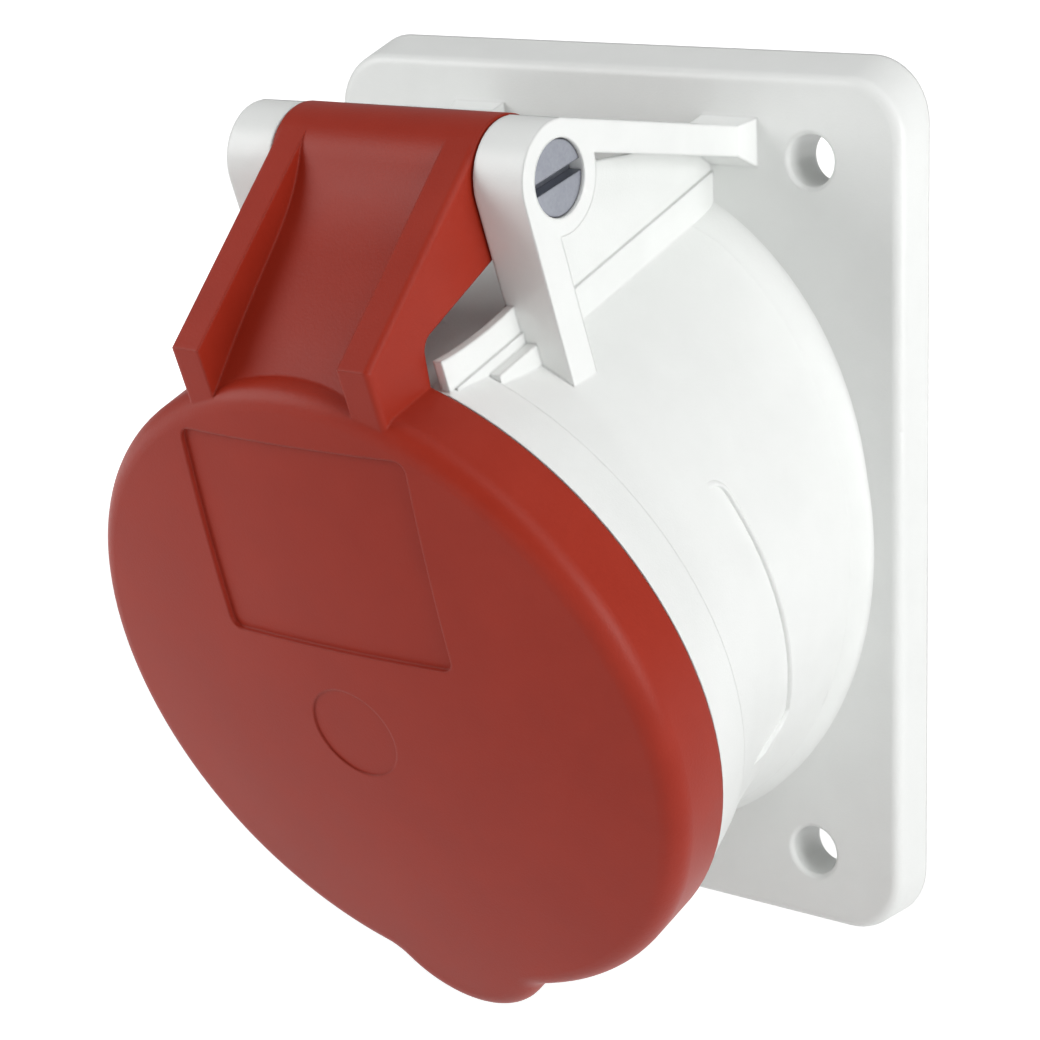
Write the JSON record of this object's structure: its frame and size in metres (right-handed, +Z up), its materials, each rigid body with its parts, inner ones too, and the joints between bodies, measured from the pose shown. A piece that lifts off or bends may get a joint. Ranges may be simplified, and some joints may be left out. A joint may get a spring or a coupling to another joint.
{
  "type": "industrial panel socket",
  "caption": "Panel-mounted power socket with an oblong flange, an angled round mouth and a sprung hinged lid over the contacts.",
  "frame": {"origin": "centre of the four-hole fixing pattern on the flange's mounting face", "axes": "+Y into the panel, so the mouth looks along -Y and 20 degrees down; +Z up along the panel, towards the lid's hinge; +X to the right seen from the front"},
  "size_m": [0.0704, 0.077, 0.094],
  "materials": {
    "housing_moulding": "satin off-white moulding",
    "lid_moulding": "satin red moulding",
    "insert_moulding": "matt black insulating moulding",
    "seal_rubber": "matt black sealing rubber",
    "pin_steel": "dull grey stainless steel",
    "spring_steel": "drawn spring wire",
    "plated_steel": "bright zinc plating",
    "contact_brass": "turned brass"
  },
  "bodies": {
    "socket_body": {"housing": "housing_moulding", "flange_gasket": "seal_rubber", "front_carrier": "insert_moulding", "rear_carrier": "insert_moulding", "retaining_screws": "plated_steel", "centre_screw": "plated_steel", "hinge_pin": "pin_steel", "lid_spring": "spring_steel", "earth_contact": "contact_brass", "earth_spring_ring": "spring_steel", "earth_clamp_screw": "plated_steel", "line_1_contact": "contact_brass", "line_1_spring_ring": "spring_steel", "line_1_clamp_screw": "plated_steel", "line_2_contact": "contact_brass", "line_2_spring_ring": "spring_steel", "line_2_clamp_screw": "plated_steel", "line_3_contact": "contact_brass", "line_3_spring_ring": "spring_steel", "line_3_clamp_screw": "plated_steel", "neutral_contact": "contact_brass", "neutral_spring_ring": "spring_steel", "neutral_clamp_screw": "plated_steel"},
    "lid": {"lid": "lid_moulding", "lid_seal": "seal_rubber"}
  },
  "joints": [
    {"name": "lid_hinge", "type": "hinge", "parent": "socket_body", "child": "lid", "pos_m": [0, -0.0348, 0.03667], "axis": [-1, 0, 0], "range_deg": [0, 110], "stiffness_Nm_per_rad": 0.03, "springref_deg": -143.24}
  ]
}
